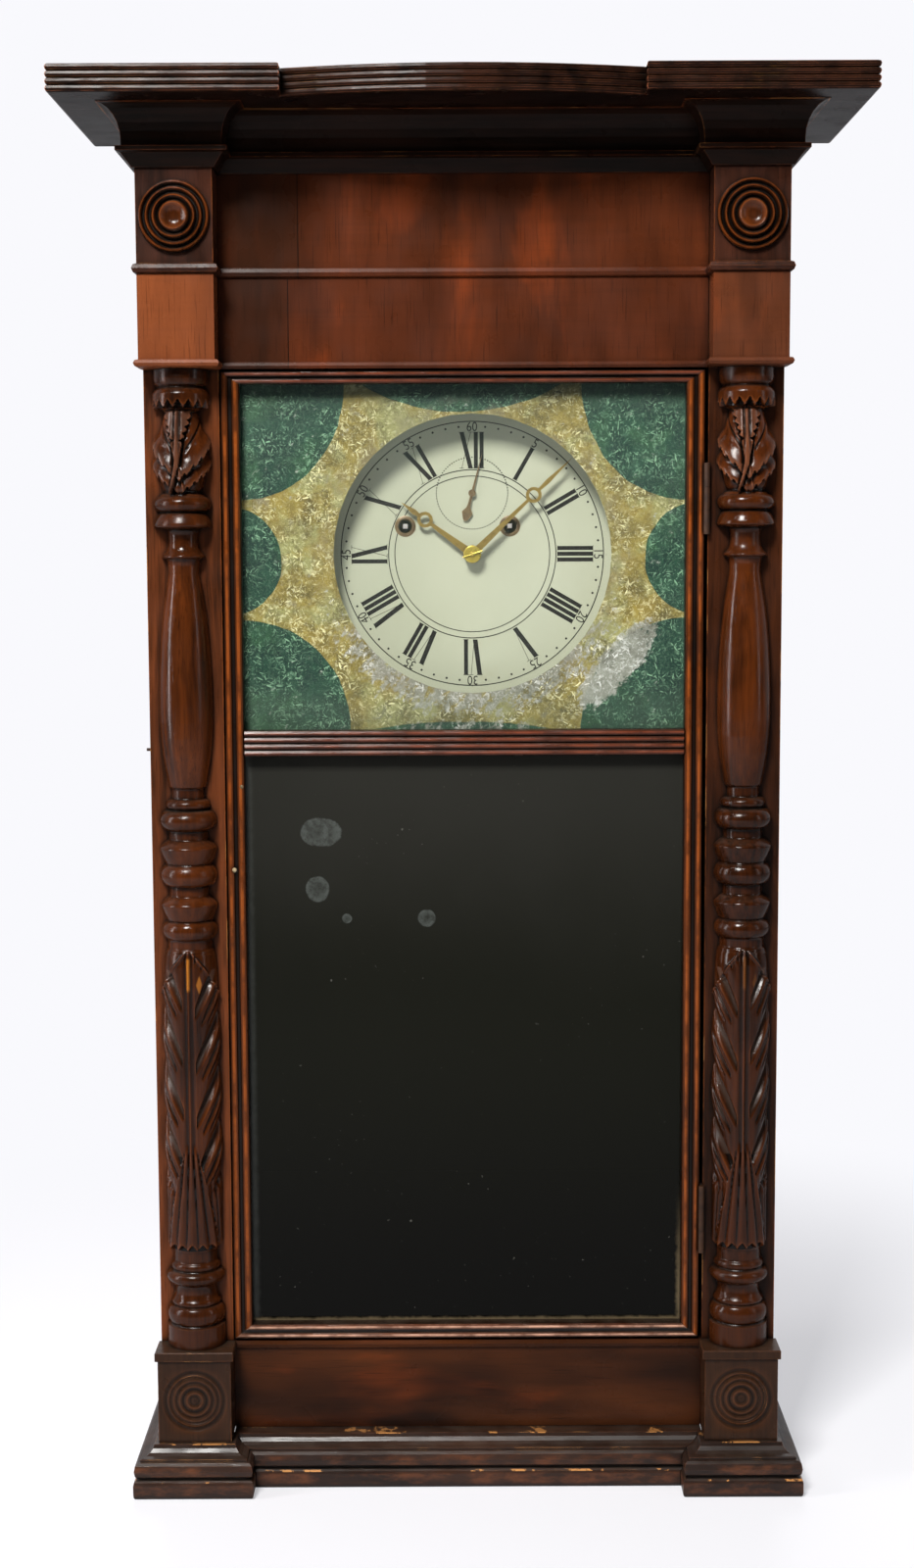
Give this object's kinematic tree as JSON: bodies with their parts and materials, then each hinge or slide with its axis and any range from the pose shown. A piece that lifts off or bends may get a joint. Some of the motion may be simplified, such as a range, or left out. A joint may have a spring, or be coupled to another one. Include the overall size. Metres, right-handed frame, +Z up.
{
  "type": "carved half-column shelf clock",
  "caption": "Tall weight-driven shelf clock with carved half columns, a two-light door, a foil tablet round the dial and a mirror below.",
  "frame": {"origin": "middle of the footprint of the overall box, on the surface that the feet stand on", "axes": "+Z up, -Y towards the viewer of the dial, +X to the viewer's right"},
  "size_m": [0.553, 0.196, 1.003],
  "materials": {
    "mahogany": "dark red-brown varnish, worn on the edges",
    "figured_mahogany": "figured veneer under old varnish",
    "pine": "bare, darkened with age",
    "glass": "clear",
    "foil": "gold and green foil laid on the back of the glass",
    "mirror": "old silvering with blemishes",
    "dial_paint": "aged off-white paint with plain numerals",
    "brass": "dulled",
    "iron": "as cast",
    "steel": "plain",
    "cord": "braided cord"
  },
  "bodies": {
    "case": {"case_side_left": "mahogany", "case_side_right": "mahogany", "case_floor": "pine", "back_board": "pine", "pulley_board": "pine", "pilaster_board_left": "mahogany", "pilaster_board_right": "mahogany", "column_left": "mahogany", "column_right": "mahogany", "upper_block_left": "mahogany", "upper_block_right": "mahogany", "rosette_left": "mahogany", "rosette_right": "mahogany", "lower_block_left": "figured_mahogany", "lower_block_right": "figured_mahogany", "frieze_upper": "figured_mahogany", "frieze_lower": "figured_mahogany", "cornice_board": "mahogany", "cornice_cove": "mahogany", "cornice_cap_left": "mahogany", "cornice_cap_right": "mahogany", "base_block_left": "mahogany", "base_block_right": "mahogany", "apron_panel": "figured_mahogany", "base_moulding_centre": "mahogany", "base_foot_left": "mahogany", "base_foot_right": "mahogany", "case_hinge_upper": "brass", "case_hinge_lower": "brass", "dial": "dial_paint", "movement_frame": "brass", "strike_bell": "brass", "weight_cord_left": "cord", "weight_cord_right": "cord"},
    "door": {"door_stile_left": "mahogany", "door_stile_right": "mahogany", "door_rail_top": "mahogany", "door_rail_middle": "mahogany", "door_rail_bottom": "mahogany", "tablet_glass": "glass", "tablet_foil": "foil", "mirror_glass": "mirror", "mirror_backboard": "pine", "door_hinge_upper": "brass", "door_hinge_lower": "brass"},
    "door_catch": {"door_catch": "brass"},
    "minute_hand": {"minute_hand": "brass"},
    "hour_hand": {"hour_hand": "brass"},
    "minute_wheel": {"minute_wheel": "brass"},
    "seconds_hand": {"seconds_hand": "brass"},
    "drum_left": {"drum_left": "brass"},
    "drum_right": {"drum_right": "brass"},
    "weight_left": {"weight_left": "iron"},
    "weight_right": {"weight_right": "iron"},
    "pendulum": {"pendulum_rod": "steel", "pendulum_bob": "brass"},
    "verge": {"verge": "steel"},
    "pulley_left": {"pulley_left": "brass"},
    "pulley_right": {"pulley_right": "brass"},
    "strike_hammer": {"strike_hammer": "iron"}
  },
  "joints": [
    {"name": "door_swing", "type": "hinge", "parent": "case", "child": "door", "pos_m": [0.1714, -0.026, 0.1052], "axis": [0, 0, 1], "range_deg": [0, 100]},
    {"name": "door_catch_turn", "type": "hinge", "parent": "door", "child": "door_catch", "pos_m": [-0.1664, -0.0238, 0.4542], "axis": [0, 1, 0], "range_deg": [0, 90]},
    {"name": "minute_hand_turn", "type": "hinge", "parent": "case", "child": "minute_hand", "pos_m": [0.0058, 0.0032, 0.6795], "axis": [0, 1, 0], "continuous": true},
    {"name": "hour_hand_turn", "type": "hinge", "parent": "case", "child": "hour_hand", "pos_m": [0.0058, 0.0058, 0.6795], "axis": [0, 1, 0], "continuous": true},
    {"name": "minute_wheel_turn", "type": "hinge", "parent": "case", "child": "minute_wheel", "pos_m": [0.00067, 0.0232, 0.66541], "axis": [0, 1, 0], "continuous": true},
    {"name": "seconds_hand_turn", "type": "hinge", "parent": "case", "child": "seconds_hand", "pos_m": [0.0058, 0.009, 0.7233], "axis": [0, 1, 0], "continuous": true},
    {"name": "pendulum_swing", "type": "hinge", "parent": "case", "child": "pendulum", "pos_m": [0.0058, 0.077, 0.7483], "axis": [0, 1, 0], "range_deg": [-3, 3]},
    {"name": "verge_rock", "type": "hinge", "parent": "case", "child": "verge", "pos_m": [0.0058, 0.077, 0.7483], "axis": [0, 1, 0], "range_deg": [-3, 3]},
    {"name": "weight_left_rise", "type": "slide", "parent": "case", "child": "weight_left", "axis": [0, 0, 1], "range_m": [0, 0.6], "deforming": ["weight_cord_left"]},
    {"name": "drum_left_turn", "type": "hinge", "parent": "case", "child": "drum_left", "pos_m": [-0.0426, 0, 0.6997], "axis": [0, 1, 0], "continuous": true},
    {"name": "pulley_left_turn", "type": "hinge", "parent": "case", "child": "pulley_left", "pos_m": [-0.1558, 0.0455, 0.9355], "axis": [0, 1, 0], "continuous": true},
    {"name": "weight_right_rise", "type": "slide", "parent": "case", "child": "weight_right", "axis": [0, 0, 1], "range_m": [0, 0.6], "deforming": ["weight_cord_right"]},
    {"name": "drum_right_turn", "type": "hinge", "parent": "case", "child": "drum_right", "pos_m": [0.033, 0, 0.6997], "axis": [0, 1, 0], "continuous": true},
    {"name": "pulley_right_turn", "type": "hinge", "parent": "case", "child": "pulley_right", "pos_m": [0.1558, 0.0455, 0.9355], "axis": [0, 1, 0], "continuous": true},
    {"name": "hammer_lift", "type": "hinge", "parent": "case", "child": "strike_hammer", "pos_m": [-0.074, 0.0784, 0.722], "axis": [0, 1, 0], "range_deg": [0, 20]}
  ],
  "couplings": [
    {"joint": "hour_hand_turn", "follows": "minute_hand_turn", "ratio": 0.083333},
    {"joint": "minute_wheel_turn", "follows": "minute_hand_turn", "ratio": -0.33333},
    {"joint": "verge_rock", "follows": "pendulum_swing", "ratio": 1},
    {"joint": "drum_left_turn", "follows": "weight_left_rise", "rad_per_m": 63.694},
    {"joint": "pulley_left_turn", "follows": "weight_left_rise", "rad_per_m": 70.423},
    {"joint": "drum_right_turn", "follows": "weight_right_rise", "rad_per_m": -63.694},
    {"joint": "pulley_right_turn", "follows": "weight_right_rise", "rad_per_m": -70.423}
  ]
}
